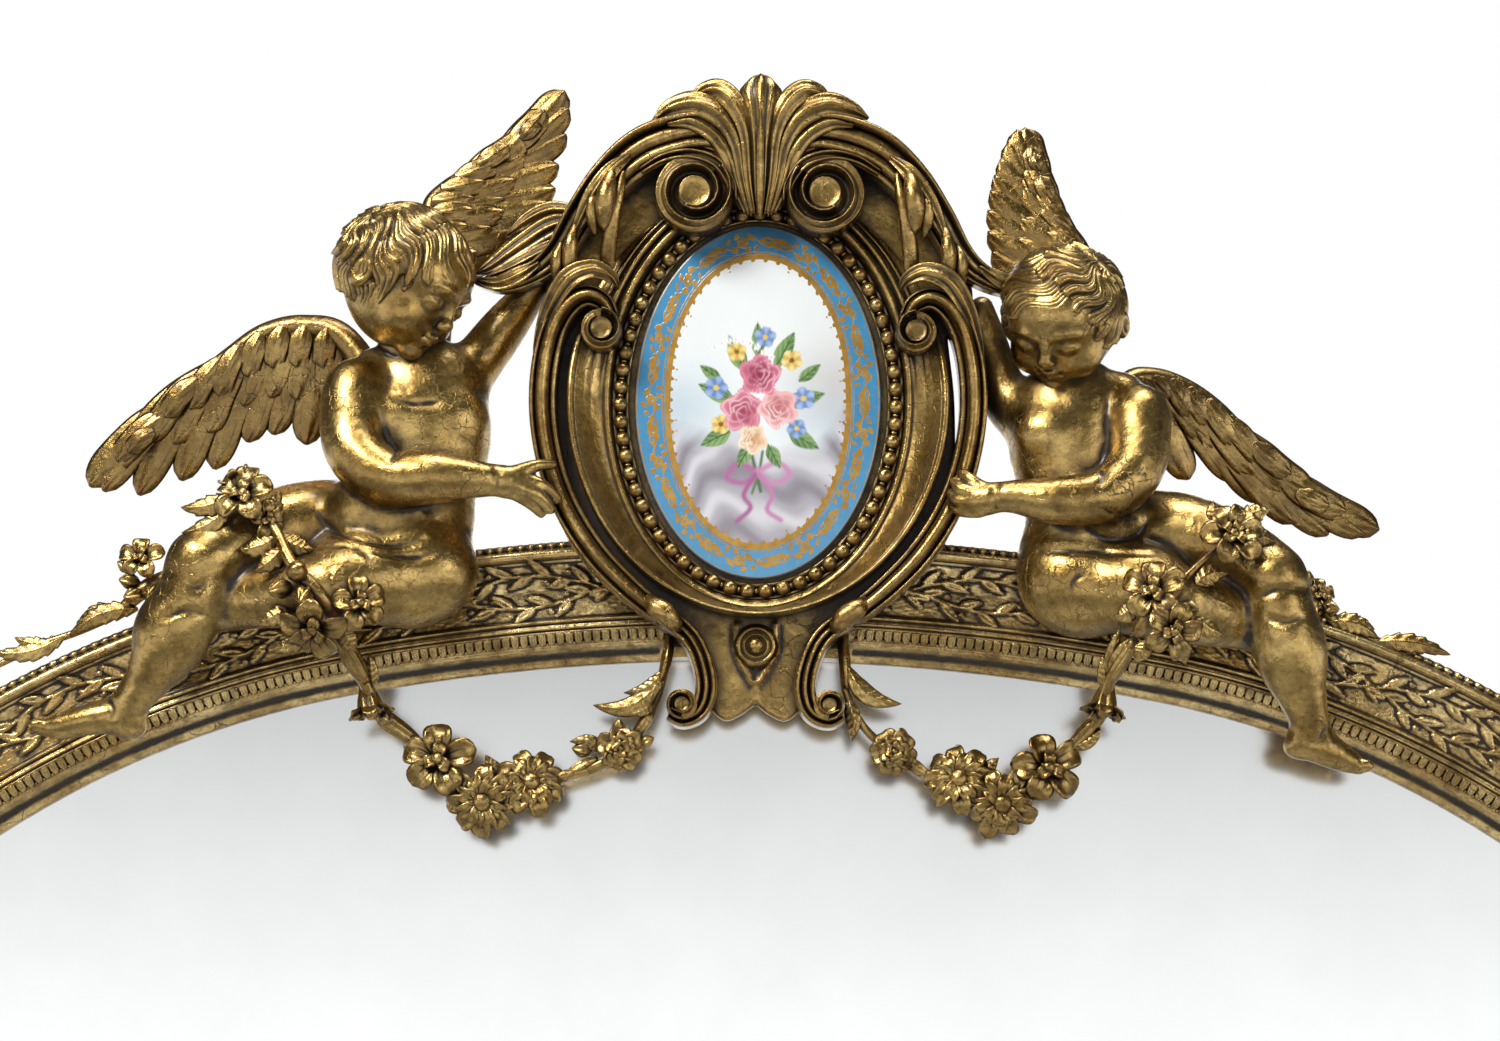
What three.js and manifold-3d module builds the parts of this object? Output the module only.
// A gilded overmantel mirror in the Louis XVI manner: a three-centred arch of moulding round a
// mirror plate, with a carved crest of a porcelain plaque in a scrolled cartouche between two
// seated putti. Millimetres, +Z up, the front faces -Y, Y = 0 is the middle of the base rail.
import * as THREE from "three";
import { mergeVertices } from "three/addons/utils/BufferGeometryUtils.js";
import Module from "manifold-3d";

const wasm = await Module();
wasm.setup();

// ---------- driving dimensions ----------

const GAP = 0.3; // between pieces that touch
const SIDES = [["left", -1], ["right", 1]];
const DEG = Math.PI / 180;

// The sight edge: three arcs from the crown to the springing, then upright stiles to the base.
const ARCH_RADII = [1728, 768, 127];
const ARCH_ENDS = [10.7, 34.1, 90]; // degrees from the vertical
const ARCH_STEPS = [3, 5, 6];
const SIGHT_TOP = 1580;
const MOULDING_WIDTH = 98;
const KEYSTONE_HALF = 72;

const FRAME_BACK = 45; // the plane that lies on the wall
const MOULDING_BACK = -12;
const BACK_FRAME = { inner: 12, outer: 94, rebate: 18, rebateDepth: 15 };
const GLASS = { lap: 9, front: -4, back: 1 };
const BOARD_THICKNESS = 12;
const BOARD_JOINTS = [560, 1060]; // heights where the backboards meet
const BLOCK = { length: 120, width: 24 }; // glazing blocks
const KEYHOLE_PLATE = { width: 26, height: 70, thick: 3, z: 1150 };

// The crest. The shield is the board that carries the rest of the carving.
const SHIELD = { back: -46, front: -58, waist: 34 };
const PLAQUE = { z: 1782, halfWidth: 98, halfHeight: 143, edge: -64, crown: -68 };
const PEARLS = { halfWidth: 110, halfHeight: 153, radius: 6, count: 59 };
const BOWL = { inset: 7, rimHalfWidth: 152, rimHalfHeight: 174, rim: -88 };
const BRACKET = { halfWidth: 40, top: 1930, foot: 12 };

// ---------- geometry helpers ----------

const lerp = (a, b, t) => a + (b - a) * t;
const range = (count) => [...Array(count).keys()];

// Points that sit between hand-set stations on one smooth curve; every component is smoothed.
function smooth(stations, perSpan) {
  const at = (i) => stations[Math.max(0, Math.min(stations.length - 1, i))];
  const points = [];
  for (let i = 0; i < stations.length - 1; i++) {
    for (let k = 0; k < perSpan; k++) {
      const t = k / perSpan;
      points.push(at(i).map((p1, c) => {
        const [p0, p2, p3] = [at(i - 1)[c], at(i + 1)[c], at(i + 2)[c]];
        return p1 + 0.5 * t * (p2 - p0 + t * (2 * p0 - 5 * p1 + 4 * p2 - p3 + t * (3 * (p1 - p2) + p3 - p0)));
      }));
    }
  }
  points.push(at(stations.length - 1));
  return points;
}

// A solid from points and triangles, turned so that its faces point out.
function solidOf(points, triangles) {
  const geometry = new THREE.BufferGeometry();
  geometry.setAttribute("position", new THREE.Float32BufferAttribute(points.flat(), 3));
  geometry.setIndex(triangles.flat());
  return manifoldOf(geometry);
}

function manifoldOf(geometry) {
  for (const name of ["normal", "uv"]) geometry.deleteAttribute(name);
  const merged = mergeVertices(geometry, 1e-3);
  const triVerts = new Uint32Array(merged.index.array);
  const build = () => new wasm.Manifold(new wasm.Mesh({
    numProp: 3, vertProperties: merged.attributes.position.array, triVerts,
  }));
  const solid = build();
  if (solid.volume() > 0) return solid;
  for (let i = 0; i < triVerts.length; i += 3) {
    [triVerts[i], triVerts[i + 1]] = [triVerts[i + 1], triVerts[i]];
  }
  return build();
}

function geometryOf(solid) {
  const mesh = solid.getMesh();
  const geometry = new THREE.BufferGeometry();
  geometry.setAttribute("position", new THREE.Float32BufferAttribute(mesh.vertProperties, 3));
  geometry.setIndex([...mesh.triVerts]);
  geometry.computeVertexNormals();
  return geometry;
}

const union = (...solids) => solids.reduce((all, solid) => all.add(solid));

// A closed skin over rings of equal count. Open rows of rings end in a fan or in a given capping.
function skin(rings, { loop = false, cap = null } = {}) {
  const count = rings[0].length;
  const points = rings.flat();
  const triangles = [];
  const rows = loop ? rings.length : rings.length - 1;
  for (let i = 0; i < rows; i++) {
    for (let j = 0; j < count; j++) {
      const [a, b] = [i * count + j, i * count + ((j + 1) % count)];
      const next = ((i + 1) % rings.length) * count;
      const [c, d] = [next + j, next + ((j + 1) % count)];
      triangles.push([a, b, d], [a, d, c]);
    }
  }
  if (loop) return solidOf(points, triangles);
  const last = (rings.length - 1) * count;
  if (cap) {
    cap.forEach(([a, b, c]) => triangles.push([a, c, b], [last + a, last + b, last + c]));
    return solidOf(points, triangles);
  }
  for (const [base, turned] of [[0, true], [last, false]]) {
    const ring = points.slice(base, base + count);
    const centre = points.push([0, 1, 2].map((c) => ring.reduce((sum, p) => sum + p[c], 0) / count)) - 1;
    for (let j = 0; j < count; j++) {
      const [a, b] = [base + j, base + ((j + 1) % count)];
      triangles.push(turned ? [b, a, centre] : [a, b, centre]);
    }
  }
  return solidOf(points, triangles);
}

// A swelling and tapering round form along stations [x, y, z, half width, half depth]. The
// section's depth stays as near to Y as the path allows, and both ends are domed.
function limb(stations, { sides = 8, perSpan = 1 } = {}) {
  const path = smooth(stations.map(([x, y, z, w, d = w]) => [x, y, z, w, d]), perSpan);
  const centres = path.map(([x, y, z]) => new THREE.Vector3(x, y, z));
  const depthAxis = new THREE.Vector3(0, 1, 0);
  const ring = (centre, tangent, w, d) => {
    const across = tangent.clone().cross(depthAxis).normalize();
    const deep = across.clone().cross(tangent).normalize();
    return range(sides).map((j) => {
      const angle = (j / sides) * 2 * Math.PI;
      return centre.clone().addScaledVector(across, w * Math.cos(angle))
        .addScaledVector(deep, d * Math.sin(angle)).toArray();
    });
  };
  const tangentAt = (i) => centres[Math.min(i + 1, centres.length - 1)].clone()
    .sub(centres[Math.max(i - 1, 0)]).normalize();
  const rings = centres.map((centre, i) => ring(centre, tangentAt(i), path[i][3], path[i][4]));
  const dome = (i, direction) => {
    const tangent = tangentAt(i);
    const [w, d] = path[i].slice(3);
    const reach = 0.5 * Math.min(w, d) * direction;
    return ring(centres[i].clone().addScaledVector(tangent, reach), tangent, 0.7 * w, 0.7 * d);
  };
  return skin([dome(0, -1), ...rings, dome(centres.length - 1, 1)]);
}

// An outline in X and Z, drawn through points, as a plate between two depths.
function plate(points, front, back, { bevel = 0, steps = 1 } = {}) {
  const at = (i) => points[(i + points.length) % points.length];
  const outline = points.flatMap((_, i) => smooth([at(i - 1), at(i), at(i + 1), at(i + 2)], steps)
    .slice(steps, 2 * steps));
  const shape = new THREE.Shape(outline.map(([x, z]) => new THREE.Vector2(x, z)));
  const geometry = new THREE.ExtrudeGeometry(shape, {
    depth: back - front - 2 * bevel, bevelEnabled: bevel > 0, bevelThickness: bevel,
    bevelSize: bevel, bevelOffset: -bevel, bevelSegments: 1,
  });
  // The extrusion runs along +Z from 0; it is laid over to run along -Y from the back.
  geometry.rotateX(Math.PI / 2).translate(0, back - bevel, 0);
  return manifoldOf(geometry);
}

function block(xs, ys, zs) {
  const size = [xs, ys, zs].map(([low, high]) => high - low);
  const middle = [xs, ys, zs].map(([low, high]) => (low + high) / 2);
  return manifoldOf(new THREE.BoxGeometry(...size).translate(...middle));
}

// The same solid a touch larger, to cut a neighbour so that a small gap stays between them. Each
// point moves along the mean of the faces round it, further where they meet at a sharp edge.
function grown(solid) {
  const { vertProperties, triVerts } = solid.getMesh();
  const at = (i) => new THREE.Vector3().fromArray(vertProperties, 3 * i);
  const around = range(vertProperties.length / 3).map(() => []);
  for (let t = 0; t < triVerts.length; t += 3) {
    const corners = [0, 1, 2].map((c) => triVerts[t + c]);
    const [a, b, c] = corners.map(at);
    const normal = b.clone().sub(a).cross(c.clone().sub(a)).normalize();
    if (normal.lengthSq() === 0) continue;
    corners.forEach((corner, i) => {
      const [one, two] = [1, 2].map((k) => at(corners[(i + k) % 3]).sub(at(corner)));
      around[corner].push({ normal, angle: one.angleTo(two) });
    });
  }
  const points = around.map((faces, i) => {
    const mean = new THREE.Vector3();
    for (const { normal, angle } of faces) mean.addScaledVector(normal, angle);
    mean.normalize();
    const least = Math.min(...faces.map(({ normal }) => normal.dot(mean)));
    return at(i).addScaledVector(mean, GAP / Math.max(least, 0.35)).toArray();
  });
  const triangles = range(triVerts.length / 3).map((t) => [...triVerts.slice(3 * t, 3 * t + 3)]);
  return solidOf(points, triangles);
}

const mirrored = (points, side) => points.map(([x, ...rest]) => [side * x, ...rest]);

// ---------- materials ----------

const MATERIALS = {
  gilt: { color: 0xb88e3a, roughness: 0.38, metalness: 1 },
  gilt_frame: { color: 0xa98235, roughness: 0.45, metalness: 1 },
  glass: { color: 0xe4e8ea, roughness: 0.03, metalness: 1 },
  porcelain: { color: 0x6fa8cc, roughness: 0.12, metalness: 0 },
  pine: { color: 0x9c7a4c, roughness: 0.85, metalness: 0 },
  steel: { color: 0x7d7a74, roughness: 0.5, metalness: 1 },
};

const pieces = new Map();

// A new piece, cut back where it meets the pieces already made. What a cut leaves loose goes.
function add(name, material, solid, neighbours = []) {
  for (const other of neighbours) solid = solid.subtract(grown(pieces.get(other).solid));
  const bodies = solid.decompose().sort((a, b) => b.volume() - a.volume());
  pieces.set(name, { solid: bodies[0], material });
}

// ---------- the frame ----------

// Stations on the right half of the sight edge: a point and the normal that points out of it.
function archStations(startX) {
  const stations = [];
  let [centreX, centreZ] = [0, SIGHT_TOP - ARCH_RADII[0]];
  let from = Math.asin(startX / ARCH_RADII[0]);
  ARCH_RADII.forEach((radius, arc) => {
    const to = ARCH_ENDS[arc] * DEG;
    for (let i = arc ? 1 : 0; i <= ARCH_STEPS[arc]; i++) {
      const angle = lerp(from, to, i / ARCH_STEPS[arc]);
      const [nx, nz] = [Math.sin(angle), Math.cos(angle)];
      stations.push({ x: centreX + radius * nx, z: centreZ + radius * nz, nx, nz });
    }
    const step = radius - (ARCH_RADII[arc + 1] ?? radius);
    centreX += step * Math.sin(to);
    centreZ += step * Math.cos(to);
    from = to;
  });
  return stations;
}

const SPRINGING = archStations(0).at(-1);
const BASE = { x: SPRINGING.x, z: MOULDING_WIDTH }; // the lower corner of the sight edge

// A section [distance out from the sight edge, height towards the front] along stations.
function moulding(section, stations, side = 1) {
  const contour = section.map(([u, v]) => new THREE.Vector2(u, v));
  const rings = stations.map(({ x, z, nx, nz }) => section.map(
    ([u, v]) => [side * (x + nx * u), -v, z + nz * u],
  ));
  const area = THREE.ShapeUtils.area;
  const cap = THREE.ShapeUtils.triangulateShape(contour, []).map(([a, b, c]) => (
    area([a, b, c].map((i) => contour[i])) * area(contour) > 0 ? [a, b, c] : [a, c, b]
  ));
  return skin(rings, { cap });
}

// Sight edge, stepped slip, leaf band, reeded roll, hollow frieze, outer roll and pearl edge.
const LIP = [ // the edge of the moulding that stands in front of the glass
  [BACK_FRAME.inner - 1, -MOULDING_BACK], [BACK_FRAME.inner - 1, GAP - GLASS.front], [0, GAP - GLASS.front],
];
const MOULDING_SECTION = [
  [0, 8], [13, 26], [25, 38], [27.5, 36], [31.5, 41], [37, 34], [70, 33.5], [82, 38], [84.5, 43],
  [88, 44.7], [91.5, 43], [93, 38], [98, 36], [96, 30], [96, -MOULDING_BACK], ...LIP,
];
const KEYSTONE_SECTION = [[0, 38], [7, 45.7], [98, 45.7], [98, -MOULDING_BACK], ...LIP];
const backSection = (outer) => [
  [BACK_FRAME.inner, -MOULDING_BACK - GAP], [outer, -MOULDING_BACK - GAP], [outer, -FRAME_BACK],
  [BACK_FRAME.inner + BACK_FRAME.rebate, -FRAME_BACK],
  [BACK_FRAME.inner + BACK_FRAME.rebate, BACK_FRAME.rebateDepth - FRAME_BACK],
  [BACK_FRAME.inner, BACK_FRAME.rebateDepth - FRAME_BACK],
];

const upright = (z, lean = 0) => ({ x: BASE.x, z, nx: 1, nz: lean });

function addFrame() {
  const half = GAP / 2;
  for (const [side, sign] of SIDES) {
    add(`arch_moulding_${side}`, "gilt_frame", moulding(MOULDING_SECTION, archStations(KEYSTONE_HALF), sign));
    add(`stile_moulding_${side}`, "gilt_frame", moulding(
      MOULDING_SECTION, [upright(SPRINGING.z - GAP), upright(BASE.z + half, -1)], sign,
    ));
    add(`back_arch_${side}`, "pine", moulding(backSection(BACK_FRAME.outer), archStations(half), sign));
    add(`back_stile_${side}`, "pine", moulding(
      backSection(BACK_FRAME.outer), [upright(SPRINGING.z - GAP), upright(0)], sign,
    ).subtract(keyholePocket(sign)));
    add(`keyhole_plate_${side}`, "steel", keyholePlate(sign));
  }
  const across = (x, lean = 0) => ({ x, z: BASE.z, nx: lean, nz: -1 });
  add("base_moulding", "gilt_frame", moulding(
    MOULDING_SECTION, [across(half - BASE.x, -1), across(BASE.x - half, 1)],
  ));
  const railEnd = BASE.x + BACK_FRAME.inner - GAP;
  add("back_base_rail", "pine", moulding(backSection(MOULDING_WIDTH), [across(-railEnd), across(railEnd)]));
  const crown = archStations(0)[0];
  const keystoneStations = range(5).map((i) => {
    const angle = Math.asin(((i / 2 - 1) * (KEYSTONE_HALF - GAP)) / ARCH_RADII[0]);
    const [nx, nz] = [Math.sin(angle), Math.cos(angle)];
    return { x: ARCH_RADII[0] * nx, z: crown.z - ARCH_RADII[0] * (1 - nz), nx, nz };
  });
  add("keystone_block", "gilt_frame", moulding(KEYSTONE_SECTION, keystoneStations));
}

// The whole opening, drawn out past the sight edge by an offset, as an outline in X and Z.
function openingOutline(offset) {
  const right = archStations(0).map(({ x, z, nx, nz }) => [x + nx * offset, z + nz * offset]);
  right.push([BASE.x + offset, BASE.z - offset]);
  const left = right.slice(1).reverse().map(([x, z]) => [-x, z]);
  return [...right, ...left];
}

function addGlazing() {
  add("mirror_glass", "glass", plate(openingOutline(GLASS.lap), GLASS.front, GLASS.back));
  const boardFront = FRAME_BACK - BACK_FRAME.rebateDepth + GAP;
  const boards = plate(
    openingOutline(BACK_FRAME.inner + BACK_FRAME.rebate - 2), boardFront, boardFront + BOARD_THICKNESS,
  );
  const levels = [0, ...BOARD_JOINTS, SIGHT_TOP + MOULDING_WIDTH];
  ["lower", "middle", "upper"].forEach((name, i) => {
    const span = block([-BASE.x * 1.2, BASE.x * 1.2], [0, FRAME_BACK], [levels[i] + GAP, levels[i + 1]]);
    add(`backboard_${name}`, "pine", boards.intersect(span));
  });
  const depth = [GLASS.back + GAP, boardFront - GAP];
  const outer = BASE.x + BACK_FRAME.inner - GAP;
  const [halfLength, blockHeight] = [BLOCK.length / 2, SIGHT_TOP / 2];
  for (const [side, sign] of SIDES) {
    const spanX = [sign * outer, sign * (outer - BLOCK.width)].sort((a, b) => a - b);
    add(`glazing_block_${side}`, "pine", block(
      spanX, depth, [blockHeight - halfLength, blockHeight + halfLength],
    ));
    const middle = (sign * BASE.x) / 2;
    const bottom = BASE.z - BACK_FRAME.inner + GAP;
    add(`glazing_block_base_${side}`, "pine", block(
      [middle - halfLength, middle + halfLength], depth, [bottom, bottom + BLOCK.width],
    ));
  }
  const top = SIGHT_TOP + BACK_FRAME.inner - 2;
  add("glazing_block_top", "pine", block([-halfLength, halfLength], depth, [top - BLOCK.width, top]));
}

// The hanging plates are let into the backs of the stiles, flush with them.
const plateX = (sign) => sign * (BASE.x + (BACK_FRAME.inner + BACK_FRAME.rebate + BACK_FRAME.outer) / 2);

function keyholePocket(sign) {
  const { width, height, thick, z } = KEYHOLE_PLATE;
  const x = plateX(sign);
  const recess = block(
    [x - width / 2 - GAP, x + width / 2 + GAP], [FRAME_BACK - thick - GAP, FRAME_BACK + 1],
    [z - height / 2 - GAP, z + height / 2 + GAP],
  );
  return recess.add(block([x - 8, x + 8], [FRAME_BACK - 16, FRAME_BACK], [z - 20, z + 22]));
}

function keyholePlate(sign) {
  const { width, height, thick, z } = KEYHOLE_PLATE;
  const x = plateX(sign);
  const body = block(
    [x - width / 2, x + width / 2], [FRAME_BACK - thick, FRAME_BACK], [z - height / 2, z + height / 2],
  );
  const hole = new THREE.CylinderGeometry(6, 6, 20, 16).translate(x, FRAME_BACK, z - 10);
  const slot = block([x - 2.5, x + 2.5], [FRAME_BACK - 10, FRAME_BACK + 10], [z - 10, z + 16]);
  return body.subtract(manifoldOf(hole).add(slot));
}

// ---------- the cartouche ----------

// The shield's right half, from the bottom notch of its foot round to its top.
const SHIELD_OUTLINE = [
  [0, 1540], [12, 1531], [25, 1527], [37, 1540], [SHIELD.waist, 1562], [44, 1583], [66, 1599],
  [98, 1622], [132, 1655], [158, 1698], [173, 1742], [180, 1782], [178, 1820], [168, 1850],
  [172, 1872], [164, 1900], [147, 1932], [121, 1968], [88, 1992], [45, 2003],
];

// The narrow opening on the right, between the bowl and the side scroll.
const SLIT = [[156, 1706], [158, 1740], [157, 1790], [152, 1838], [162, 1808], [165, 1770], [162, 1730]];

// A share of the plaque's own outline, at a depth.
function plaqueRing(share, depth) {
  const steps = 36;
  return range(steps).map((i) => {
    const angle = (i / steps) * 2 * Math.PI;
    return [
      share * PLAQUE.halfWidth * Math.sin(angle), depth,
      PLAQUE.z + share * PLAQUE.halfHeight * Math.cos(angle),
    ];
  });
}

// A section of [share from the inner to the outer ellipse, depth], carried round the plaque.
function ellipticalRing(inner, outer, section, steps) {
  return skin(range(steps).map((i) => section.map(([share, depth]) => {
    const angle = (i / steps) * 2 * Math.PI;
    return [
      lerp(inner[0], outer[0], share) * Math.sin(angle), depth,
      PLAQUE.z + lerp(inner[1], outer[1], share) * Math.cos(angle),
    ];
  })), { loop: true });
}

// A band that coils in on itself, on a low cone that backs it.
function volute({ x, y, z, radius, turns, start, way, band, back }) {
  const steps = Math.round(turns * 7);
  const coil = range(steps + 1).map((i) => {
    const share = i / steps;
    const angle = start + way * share * turns * 2 * Math.PI;
    const reach = radius * (1 - 0.72 * share) - band;
    const width = band * (1 - 0.45 * share);
    return [x + reach * Math.cos(angle), y - 3 * share, z + reach * Math.sin(angle), width, width + 1];
  });
  const depth = back - y;
  const cone = new THREE.CylinderGeometry(radius - band, 0.3 * radius, depth + band / 2, 10);
  return union(limb(coil, { sides: 4 }), manifoldOf(cone.translate(x, y + depth / 2 - band / 4, z)));
}

// A leaf along a spine [x, y, z, half width]: thin, ridged and pointed.
function leaf(spine, thickness = 5) {
  return limb(spine.map(([x, y, z, w]) => [x, y, z, w, thickness]), { sides: 4 });
}

function addCartouche() {
  const outline = [...SHIELD_OUTLINE, [0, 2008], ...mirrored(SHIELD_OUTLINE.slice(1), -1).reverse()];
  const slit = plate(SLIT, SHIELD.front - 1, SHIELD.back + 1, { steps: 2 });
  add("cartouche_shield", "gilt", plate(outline, SHIELD.front, SHIELD.back, { bevel: 2 }).subtract(slit));

  const bowlInner = [PEARLS.halfWidth + BOWL.inset, PEARLS.halfHeight + BOWL.inset];
  const back = SHIELD.front - GAP;
  add("cartouche_bowl", "gilt", ellipticalRing(bowlInner, [BOWL.rimHalfWidth, BOWL.rimHalfHeight], [
    [0, back], [0, -69], [0.25, -66], [0.7, -74], [0.92, BOWL.rim], [1, -82], [1, back],
  ], 32));
  addPearlRing(back);
  add("porcelain_plaque", "porcelain", skin([
    plaqueRing(1, back), plaqueRing(1, PLAQUE.edge), plaqueRing(0.6, PLAQUE.crown),
  ]));
  const bracketSide = [
    [SHIELD.back + GAP, topOfFrame(BRACKET.halfWidth) + GAP], [BRACKET.foot, topOfFrame(0) + GAP],
    [BRACKET.foot, topOfFrame(0) + 30], [-30, BRACKET.top], [SHIELD.back + GAP, BRACKET.top],
  ];
  add("crest_bracket", "pine", skin([-1, 1].map(
    (sign) => bracketSide.map(([y, z]) => [sign * BRACKET.halfWidth, y, z]),
  )), ["keystone_block"]);

  for (const [side, sign] of SIDES) {
    addHoodScroll(side, sign);
    addSideScroll(side, sign);
    addFootScroll(side, sign);
  }
  addCrown();
  addBoss();
}

// Height of the moulding's outer edge above a point near the crown.
const topOfFrame = (x) => SIGHT_TOP - ARCH_RADII[0] + Math.sqrt((ARCH_RADII[0] + MOULDING_WIDTH) ** 2 - x * x);

// A string of pearls: a three-sided section that swells at each pearl and shrinks between two.
function addPearlRing(back) {
  const rings = range(2 * PEARLS.count).map((i) => {
    const angle = (i / (2 * PEARLS.count)) * 2 * Math.PI;
    const radius = i % 2 ? 0.45 * PEARLS.radius : PEARLS.radius;
    return [[0, back - PEARLS.radius - 1.2 * radius], [radius, back], [-radius, back]].map(([out, y]) => [
      (PEARLS.halfWidth + out) * Math.sin(angle), y, PLAQUE.z + (PEARLS.halfHeight + out) * Math.cos(angle),
    ]);
  });
  add("pearl_ring", "gilt", skin(rings, { loop: true }));
}

// A leaf that spreads behind the hood's left end, where the far hand takes hold.
const BACK_LEAF = [[140, 1944], [160, 1944], [172, 1938], [202, 1912], [222, 1886], [192, 1880], [168, 1892], [148, 1920]];

// The hood: a broad scroll from the top volute over the shoulder, with hanging acanthus leaves
// and a long leaf that turns out at its lower end.
function addHoodScroll(side, sign) {
  const scroll = limb(mirrored([
    [18, -84, 1985, 12, 26], [56, -84, 1992, 15, 26], [92, -82, 1984, 16, 24], [120, -79, 1962, 15, 22],
    [141, -76, 1932, 13, 20], [158, -74, 1903, 10, 16], [178, -70, 1884, 8, 12], [205, -66, 1874, 6, 7],
    [226, -64, 1876, 3, 4],
  ], sign), { sides: 6 });
  const coil = volute({
    x: sign * 52, y: -98, z: 1946, radius: 31, turns: 1.6, start: Math.PI / 2, way: sign > 0 ? -1 : 1,
    band: 6, back: SHIELD.front + 1,
  });
  const drips = [
    [[118, -90, 1952, 9], [124, -95, 1925, 11], [119, -80, 1880, 4]],
    [[150, -80, 1908, 7], [152, -82, 1890, 8], [146, -72, 1868, 3]],
  ].map((spine) => leaf(mirrored(spine, sign), 7));
  const web = plate(mirrored([
    [20, 1940], [20, 1990], [60, 2000], [98, 1984], [90, 1970], [62, 1978], [45, 1965], [40, 1940],
  ], sign), -84, SHIELD.front + 1);
  const parts = [scroll, coil, web, ...drips];
  if (sign < 0) parts.push(plate(mirrored(BACK_LEAF, sign), -66, -50));
  add(`hood_scroll_${side}`, "gilt", union(...parts), ["cartouche_shield", "cartouche_bowl", "pearl_ring"]);
}

// The side: a C-scroll from a small volute beside the pearls, over a shoulder and down the rim.
function addSideScroll(side, sign) {
  const strap = limb(mirrored([
    [118, -92, 1852, 7, 8], [132, -90, 1860, 8, 14], [150, -82, 1852, 9, 20], [163, -76, 1832, 9, 18],
    [172, -74, 1805, 9, 17], [174, -73, 1768, 9, 16], [167, -72, 1727, 9, 16], [153, -72, 1692, 9, 15],
    [130, -72, 1657, 9, 15], [103, -72, 1630, 9, 15], [76, -72, 1611, 9, 15],
  ], sign), { sides: 6 });
  const crest = leaf(mirrored([
    [116, -84, 1874, 4], [134, -86, 1880, 6], [154, -80, 1871, 7], [170, -72, 1846, 6], [178, -68, 1820, 4],
  ], sign), 12);
  const coil = volute({
    x: sign * 126, y: -94, z: 1834, radius: 17, turns: 1.25, start: Math.PI / 2, way: sign > 0 ? 1 : -1,
    band: 5, back: SHIELD.front + 1,
  });
  add(`side_scroll_${side}`, "gilt", union(strap, crest, coil), [
    "cartouche_shield", "cartouche_bowl", "pearl_ring", `hood_scroll_${side}`,
  ]);
}

// The foot: the rim sweeps in under the bowl and out again into a small volute.
function addFootScroll(side, sign) {
  const sweep = limb(mirrored([
    [72, -72, 1606, 9, 18], [54, -72, 1594, 10, 18], [42, -72, 1572, 9, 18], [38, -72, 1548, 9, 18],
    [44, -74, 1531, 8, 18], [58, -76, 1524, 7, 16], [68, -78, 1531, 5, 15],
  ], sign), { sides: 6 });
  const coil = volute({
    x: sign * 58, y: -84, z: 1537, radius: 13, turns: 1.1, start: -Math.PI / 2, way: sign, band: 4, back: -66,
  });
  add(`foot_scroll_${side}`, "gilt", union(sweep, coil), [
    "cartouche_shield", "cartouche_bowl", `side_scroll_${side}`,
  ]);
}

// The crown: a palmette whose reeded lobes spring from one stalk and curl out over the hood.
function addCrown() {
  const half = [[86, -92, 1998], [62, -104, 2023], [30, -112, 2030]];
  const lobes = fan({
    roots: [[-9, -92, 1928], [0, -98, 1922], [9, -92, 1928]],
    tips: [...mirrored(half, -1), [0, -114, 2034], ...half.reverse()],
    bend: ([x], [tipX]) => [x + 0.16 * (tipX - x), -112, 2012], thick: [7, 4], rows: 4, valley: 0.95,
  });
  const heart = limb([[0, -78, 1934, 9, 16], [0, -82, 1965, 13, 22], [0, -82, 2002, 22, 22]], { sides: 6 });
  add("acanthus_crown", "gilt", union(heart, lobes), [
    "cartouche_shield", "cartouche_bowl", "pearl_ring", "hood_scroll_left", "hood_scroll_right",
  ]);
}

// The roundel on the foot, and the screw below it that holds the crest to the keystone.
function addBoss() {
  const front = SHIELD.front - GAP;
  const profile = [[0, 0], [17, 0], [17, 5], [14, 8], [11, 5], [8, 6], [6, 10], [0, 12]];
  const roundel = new THREE.LatheGeometry(profile.map(([r, h]) => new THREE.Vector2(r, h)), 12);
  add("foot_boss", "gilt", manifoldOf(roundel.rotateX(Math.PI).translate(0, front, 1586)), [
    "cartouche_bowl", "foot_scroll_left", "foot_scroll_right",
  ]);
}

// ---------- the putti ----------

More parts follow.
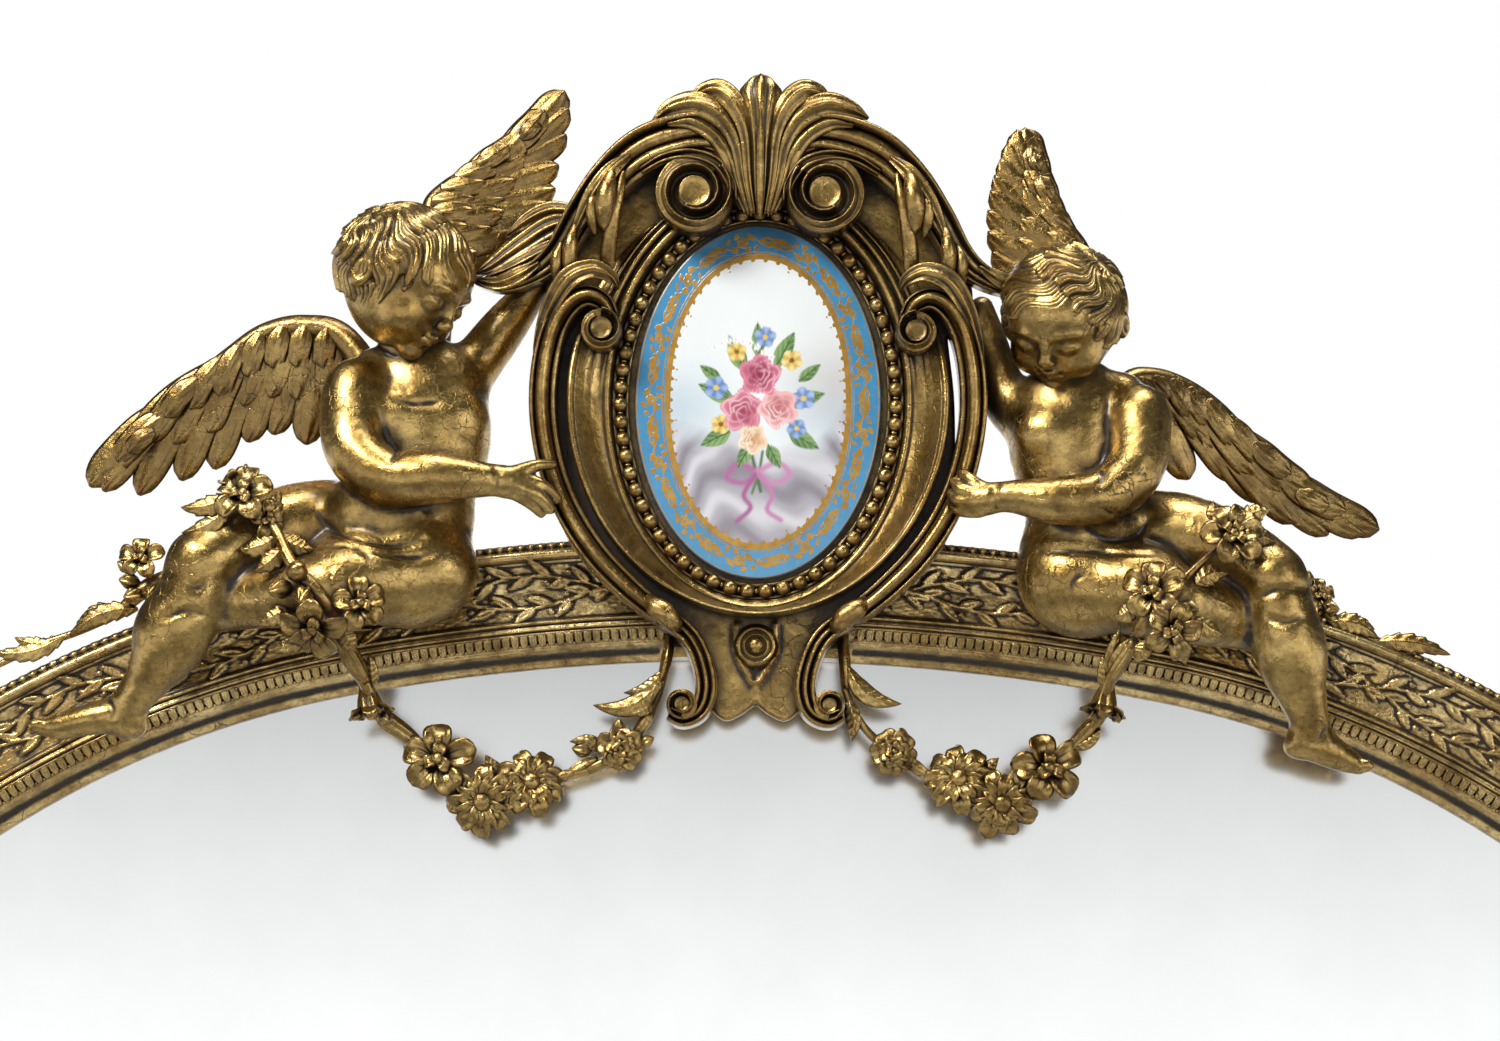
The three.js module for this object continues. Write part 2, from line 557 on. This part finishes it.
// A figure's parts are stations [x, y, z, radius, depth]. Both figures are seated on the outer
// edge of the arch, turned to the plaque, one hand on the cartouche's rim and one behind it.
const FIGURES = {
  left: {
    torso: [
      [-274, -56, 1590, 30, 26], [-280, -56, 1612, 52, 40], [-284, -58, 1645, 60, 46],
      [-279, -56, 1682, 54, 44],
      [-272, -54, 1716, 49, 41], [-267, -54, 1752, 54, 42], [-271, -56, 1785, 50, 36],
      [-278, -60, 1808, 25, 24],
      [-280, -66, 1826, 22, 22],
    ],
    head: { at: [-285, -82, 1875], radii: [54, 58, 60], face: [0.74, -0.56, -0.4], lean: 0.1 },
    nearArm: [
      [-312, -66, 1796, 23], [-322, -86, 1762, 25], [-312, -101, 1728, 23], [-290, -108, 1714, 22],
      [-254, -113, 1711, 20], [-218, -110, 1709, 14], [-200, -106, 1710, 12], [-184, -102, 1710, 14, 9],
      [-170, -99, 1710, 12, 8],
    ],
    nearFingers: [
      [[-176, -98, 1713, 5], [-163, -91, 1714, 4.5], [-152, -85, 1708, 3.5]],
      [[-176, -96, 1706, 5], [-165, -90, 1703, 4.5], [-156, -84, 1697, 3.5]],
    ],
    farArm: [
      [-246, -48, 1788, 25], [-226, -42, 1816, 21], [-207, -38, 1843, 19], [-190, -38, 1866, 15],
      [-176, -44, 1885, 11],
    ],
    highLeg: [
      [-312, -44, 1682, 37], [-357, -54, 1680, 35], [-398, -70, 1666, 32], [-433, -86, 1640, 28],
      [-447, -90, 1608, 26], [-460, -86, 1578, 22], [-481, -76, 1549, 16], [-499, -70, 1529, 14],
    ],
    highFoot: [[-494, -68, 1524, 14], [-520, -70, 1523, 13], [-546, -67, 1516, 11], [-560, -65, 1514, 7]],
    lowLeg: [
      [-276, -72, 1630, 34], [-307, -96, 1627, 33], [-345, -110, 1620, 28], [-390, -90, 1617, 22],
      [-425, -68, 1614, 15],
    ],
    lowWing: {
      arm: [[-292, -36, 1776, 13], [-334, -24, 1834, 12], [-371, -20, 1850, 11], [-402, -18, 1845, 9],
        [-428, -16, 1828, 7]],
      tips: [[-538, 1719], [-506, 1711], [-471, 1722], [-438, 1732], [-405, 1755], [-382, 1758], [-352, 1752]],
    },
    highWing: {
      arm: [[-262, -28, 1800, 14], [-258, -24, 1880, 12], [-264, -18, 1920, 11], [-270, -15, 1948, 8],
        [-258, -13, 1968, 6]],
      tips: [[-159, 2050], [-157, 2020], [-168, 1974], [-172, 1952], [-198, 1928], [-212, 1902]],
    },
  },
  right: {
    torso: [
      [266, -56, 1588, 28, 24], [259, -56, 1608, 46, 38], [259, -58, 1642, 55, 44], [263, -56, 1680, 49, 42],
      [258, -54, 1714, 45, 39], [252, -54, 1746, 51, 40], [252, -56, 1774, 48, 34], [251, -60, 1792, 24, 23],
      [247, -66, 1808, 21, 21],
    ],
    head: { at: [243, -82, 1851], radii: [49, 53, 55], face: [-0.36, -0.62, -0.7], lean: 0.15 },
    nearArm: [
      [298, -64, 1782, 22], [302, -82, 1750, 24], [291, -98, 1719, 22], [270, -106, 1701, 21],
      [235, -112, 1697, 18], [203, -110, 1700, 13], [188, -107, 1701, 11], [176, -103, 1703, 13, 8],
      [164, -99, 1704, 11, 7],
    ],
    nearFingers: [
      [[168, -98, 1708, 5], [159, -91, 1712, 4.5], [150, -85, 1712, 3.5]],
      [[168, -96, 1701, 5], [158, -90, 1700, 4.5], [150, -84, 1697, 3.5]],
    ],
    farArm: [
      [224, -48, 1768, 25], [202, -42, 1786, 21], [191, -38, 1814, 18], [184, -36, 1842, 15],
      [180, -38, 1864, 10],
    ],
    highLeg: [
      [300, -44, 1680, 37], [341, -56, 1678, 35], [379, -72, 1664, 30], [408, -86, 1640, 27],
      [418, -90, 1603, 26], [426, -86, 1568, 22], [434, -78, 1539, 17], [439, -72, 1520, 15],
    ],
    highFoot: [[434, -70, 1516, 14], [447, -72, 1508, 14], [463, -70, 1500, 11], [474, -68, 1494, 7]],
    lowLeg: [
      [266, -72, 1630, 34], [305, -94, 1622, 32], [348, -94, 1612, 27], [380, -78, 1606, 20],
      [396, -68, 1600, 14],
    ],
    lowWing: {
      arm: [[272, -36, 1764, 13], [314, -24, 1808, 12], [348, -20, 1812, 11], [376, -18, 1797, 9],
        [400, -16, 1774, 7]],
      tips: [[502, 1690], [467, 1687], [434, 1694], [403, 1714], [379, 1745], [345, 1727], [326, 1742]],
    },
    highWing: {
      arm: [[246, -28, 1786, 14], [250, -24, 1860, 12], [258, -18, 1892, 11], [264, -15, 1912, 8],
        [254, -13, 1932, 6]],
      tips: [[214, 2021], [200, 2000], [194, 1975], [185, 1948], [190, 1922]],
    },
  },
};

// A child's head as a ball whose radius varies with direction: full cheeks, small nose and chin,
// shallow sockets, and a cap of wavy hair behind the hair line.
function head({ at, radii, face, lean }) {
  const forward = new THREE.Vector3(...face).normalize();
  const upright = new THREE.Vector3(lean, 0, 1);
  const crown = upright.addScaledVector(forward, -upright.dot(forward)).normalize();
  const toSide = forward.clone().cross(crown);
  const bump = (d, centre, width) => {
    const distance = Math.hypot(d.x - centre[0], d.y - centre[1], d.z - centre[2]);
    return Math.exp(-((distance / width) ** 2));
  };
  const features = [ // direction [side, forward, up], width, height
    [[0.42, 0.8, -0.3], 0.32, 5], [[-0.42, 0.8, -0.3], 0.32, 5], [[0, 0.98, -0.12], 0.13, 8],
    [[0, 0.85, -0.58], 0.2, 4], [[0, 0.9, 0.35], 0.4, 2], [[0.3, 0.93, 0.08], 0.16, -4],
    [[-0.3, 0.93, 0.08], 0.16, -4], [[0.97, -0.02, -0.1], 0.2, 5], [[-0.97, -0.02, -0.1], 0.2, 5],
  ];
  const surface = (d) => {
    let r = 1 / Math.hypot(d.x / radii[0], d.y / radii[1], d.z / radii[2]);
    for (const [centre, width, height] of features) r += height * bump(d, centre, width);
    const behindHairLine = 0.62 * d.z - 0.75 * d.y + 0.2;
    const hair = Math.min(1, Math.max(0, behindHairLine * 4));
    return r + hair * (2 + 2 * Math.sin(7 * Math.atan2(d.x, d.z) + 9 * d.y));
  };
  const [columns, rows] = [16, 9];
  const ring = (j) => range(columns).map((i) => {
    const [azimuth, polar] = [(i / columns) * 2 * Math.PI, (j / rows) * Math.PI];
    const d = new THREE.Vector3(Math.sin(polar) * Math.sin(azimuth), Math.sin(polar) * Math.cos(azimuth), Math.cos(polar));
    const r = surface(d);
    return new THREE.Vector3(...at).addScaledVector(toSide, r * d.x).addScaledVector(forward, r * d.y)
      .addScaledVector(crown, r * d.z).toArray();
  });
  return skin(range(rows - 1).map((j) => ring(j + 1)));
}

// The point at a share of the way through a list of points.
function along(points, share) {
  const place = share * (points.length - 1);
  const i = Math.min(points.length - 2, Math.floor(place));
  return points[i].map((value, c) => lerp(value, points[i + 1][c], place - i));
}

// A fan of ribs, such as feathers or the lobes of a leaf, as one thin skin. Each rib runs along a
// bent line from its root to its tip as a raised column, between valleys that stop short of it.
function fan({ roots, tips, bend, thick, rows = 3, valley = 0.86 }) {
  const last = 2 * tips.length;
  const column = (k) => {
    const root = along(roots, k / last);
    const rib = Math.max(0, Math.min(tips.length - 1, (k - 1) / 2));
    const [one, two] = [tips[Math.floor(rib)], tips[Math.ceil(rib)]];
    const tip = one.map((value, c) => (value + two[c]) / 2);
    const middle = bend(root, tip);
    const crest = k % 2 === 1;
    const reach = crest ? 1 : valley;
    return range(rows + 1).map((row) => {
      const t = (row / rows) * reach;
      const at = root.map((_, c) => (1 - t) ** 2 * root[c] + 2 * t * (1 - t) * middle[c] + t * t * tip[c]);
      return { at, half: lerp(thick[0], thick[1], t) * (crest ? 1.2 : 0.8) };
    });
  };
  const columns = range(last + 1).map((k) => {
    const line = column(k);
    const front = line.map(({ at: [x, y, z], half }) => [x, y - half, z]);
    return [...front, ...line.reverse().map(({ at: [x, y, z], half }) => [x, y + half, z])];
  });
  const cap = range(rows).flatMap((i) => {
    const opposite = 2 * rows + 1 - i;
    return [[i, i + 1, opposite - 1], [i, opposite - 1, opposite]];
  });
  return skin(columns, { cap });
}

// A wing: a fleshy arm with a fan of feathers along most of it.
function wing({ arm, tips }) {
  const path = smooth(arm.map(([x, y, z]) => [x, y, z]), 4).reverse();
  const feathers = fan({
    roots: path.slice(0, 13), tips: tips.map(([x, z]) => [x, -8, z]), thick: [7, 1.6], rows: 2,
    bend: (root, tip) => root.map((value, c) => (value + tip[c]) / 2),
  });
  return union(feathers, limb(arm, { sides: 6 }));
}

function addFigure(side) {
  const figure = FIGURES[side];
  const frame = [`arch_moulding_${side}`, "keystone_block"];
  const rim = ["cartouche_shield", `side_scroll_${side}`, `hood_scroll_${side}`, "cartouche_bowl"];
  const name = (part) => `putto_${side}_${part}`;
  add(name("torso"), "gilt", limb(figure.torso, { sides: 10 }), frame);
  add(name("head"), "gilt", head(figure.head), [name("torso"), ...rim]);
  add(name("high_leg"), "gilt", union(limb(figure.highLeg), limb(figure.highFoot)), [...frame, name("torso")]);
  add(name("low_leg"), "gilt", limb(figure.lowLeg), [...frame, name("torso"), name("high_leg")]);
  add(name("near_arm"), "gilt", union(
    limb(figure.nearArm),
    ...figure.nearFingers.map((finger) => limb(finger, { sides: 4 })),
  ), [...rim, name("torso"), name("head")]);
  add(name("far_arm"), "gilt", limb(figure.farArm), [...rim, name("torso"), name("head")]);
  add(name("low_wing"), "gilt", wing(figure.lowWing), [name("torso"), name("near_arm"), name("head")]);
  add(name("high_wing"), "gilt", wing(figure.highWing), [
    name("torso"), name("head"), name("far_arm"), name("low_wing"), ...rim,
  ]);
}

// ---------- flowers ----------

// An open flower that faces the front: pointed petals round a raised heart.
function flower([x, y, z], radius, petals = 6, deep = 0.45) {
  const points = [[x, y - radius * deep, z], [x, y + radius * 0.3, z]];
  const count = 2 * petals;
  const triangles = [];
  for (let i = 0; i < count; i++) {
    const angle = (i / count) * 2 * Math.PI + x;
    const r = i % 2 ? 0.7 * radius : radius;
    points.push([x + r * Math.cos(angle), y + (i % 2 ? 0 : -0.25 * radius), z + r * Math.sin(angle)]);
    const [a, b] = [2 + i, 2 + ((i + 1) % count)];
    triangles.push([0, a, b], [1, b, a]);
  }
  return solidOf(points, triangles);
}

// A single leaf from a point on a stem, at an angle from +X towards +Z.
function blade([x, y, z], angle, length, width = length * 0.3) {
  const [c, s] = [Math.cos(angle), Math.sin(angle)];
  const at = (along, across, lift) => [x + c * along - s * across, y + lift, z + s * along + c * across];
  const points = [
    at(-2, 0, 0), at(length, 0, 0), at(length * 0.45, width / 2, 1), at(length * 0.45, -width / 2, 1),
    at(length * 0.4, 0, -3), at(length * 0.4, 0, 2.5),
  ];
  return solidOf(points, [[0, 2, 4], [2, 1, 4], [1, 3, 4], [3, 0, 4], [2, 0, 5], [1, 2, 5], [3, 1, 5], [0, 3, 5]]);
}

// A stem of stations [x, y, z, radius] with flowers and leaves set along it. Each flower is
// [station, offset x, offset z, radius, petals] and each leaf [station, degrees, length].
function spray({ stem, flowers, leaves }) {
  const on = (station, dx = 0, dz = 0) => {
    const [x, y, z] = stem[Math.floor(station)];
    return [x + dx, y - 3, z + dz];
  };
  return union(
    limb(stem, { sides: 5 }),
    ...flowers.map(([station, dx, dz, radius, petals]) => flower(on(station, dx, dz), radius, petals)),
    ...leaves.map(([station, degrees, length]) => blade(on(station), degrees * DEG, length)),
  );
}

// Stations of a stem that lies on the moulding's outer edge: [distance from the centre line,
// height above the edge, radius].
function alongEdge(sign, list) {
  const outer = archStations(0).map(({ x, z, nx, nz }) => [x + nx * MOULDING_WIDTH, z + nz * MOULDING_WIDTH]);
  return list.map(([distance, lift, radius]) => {
    const i = outer.findIndex(([x]) => x > distance);
    const [[x0, z0], [x1, z1]] = [outer[i - 1], outer[i]];
    return [sign * distance, -36, lerp(z0, z1, (distance - x0) / (x1 - x0)) + lift, radius];
  });
}

const SPRAYS = {
  left: {
    lap_garland: {
      stem: [[-416, -104, 1706, 5], [-396, -106, 1694, 6], [-377, -116, 1664, 7], [-362, -138, 1648, 12],
        [-338, -142, 1628, 14], [-322, -130, 1606, 9]],
      flowers: [[0, 0, 0, 20, 5], [3, -4, 8, 21, 6], [4, -10, -10, 19, 5], [5, 6, 8, 19, 5]],
      leaves: [[0, 200, 34], [3, 30, 30]],
    },
    festoon: {
      stem: [[-68, -49, 1594, 5], [-75, -60, 1560, 4], [-97, -62, 1512, 5], [-126, -62, 1491, 7],
        [-160, -62, 1478, 11], [-198, -62, 1460, 12], [-228, -62, 1477, 10], [-255, -62, 1500, 6],
        [-292, -62, 1527, 6], [-318, -80, 1560, 6], [-326, -112, 1600, 7]],
      flowers: [[3, 0, 0, 16, 5], [4, 0, 6, 21, 6], [5, 0, -4, 23, 6], [7, 2, 2, 25, 6]],
      leaves: [[1, 203, 52], [8, 120, 30]],
    },
    trail: {
      stem: alongEdge(-1, [[450, 12, 9], [484, 10, 14], [516, 4, 6], [550, 4, 4], [584, 4, 4], [612, 4, 3]]),
      flowers: [[0, -8, 16, 17, 5], [1, 0, 26, 18, 5], [1, -12, 6, 17, 5]],
      leaves: [[2, 140, 30], [3, 150, 30], [4, 165, 28]],
    },
  },
  right: {
    lap_garland: {
      stem: [[382, -104, 1674, 5], [362, -112, 1664, 6], [343, -122, 1648, 8], [326, -130, 1636, 12],
        [306, -134, 1616, 14], [296, -124, 1596, 9]],
      flowers: [[0, 0, 0, 22, 6], [3, 2, 10, 19, 5], [4, -12, -8, 18, 5], [5, 8, 4, 18, 5]],
      leaves: [[0, 150, 34], [3, 0, 28]],
    },
    festoon: {
      stem: [[68, -49, 1592, 5], [77, -60, 1554, 4], [97, -62, 1514, 5], [116, -62, 1498, 7],
        [158, -62, 1482, 11], [192, -62, 1462, 12], [220, -62, 1490, 10], [249, -62, 1510, 6],
        [276, -62, 1537, 6], [292, -80, 1566, 6], [298, -106, 1598, 7]],
      flowers: [[3, 0, 0, 18, 5], [4, 0, 6, 22, 6], [5, 0, -4, 21, 6], [6, 4, 8, 22, 6]],
      leaves: [[1, -85, 46], [2, -20, 40], [8, 60, 30]],
    },
    trail: {
      stem: alongEdge(1, [[426, 10, 8], [446, 8, 10], [474, 4, 6], [502, 4, 4], [530, 4, 4], [556, 4, 3]]),
      flowers: [[0, 0, 6, 15, 5], [1, 0, 10, 16, 5]],
      leaves: [[2, 20, 32], [3, 35, 28], [4, 15, 28]],
    },
  },
};

function addSprays(side) {
  const frame = [`arch_moulding_${side}`, "keystone_block"];
  const figure = ["torso", "high_leg", "low_leg", "low_wing"].map((part) => `putto_${side}_${part}`);
  add(`lap_garland_${side}`, "gilt", spray(SPRAYS[side].lap_garland), [...figure, ...frame]);
  add(`festoon_${side}`, "gilt", spray(SPRAYS[side].festoon), [
    ...figure, ...frame, `lap_garland_${side}`, `foot_scroll_${side}`, `side_scroll_${side}`, "cartouche_shield",
  ]);
  add(`trail_${side}`, "gilt", spray(SPRAYS[side].trail), [...figure, ...frame, `lap_garland_${side}`]);
}

// ---------- assembly ----------

addFrame();
addGlazing();
addCartouche();
for (const [side] of SIDES) {
  addFigure(side);
  addSprays(side);
}

const mirror = new THREE.Group();
for (const [name, { solid, material }] of pieces) {
  const mesh = new THREE.Mesh(geometryOf(solid), new THREE.MeshStandardMaterial(MATERIALS[material]));
  mesh.name = name;
  mirror.add(mesh);
}

export default mirror;
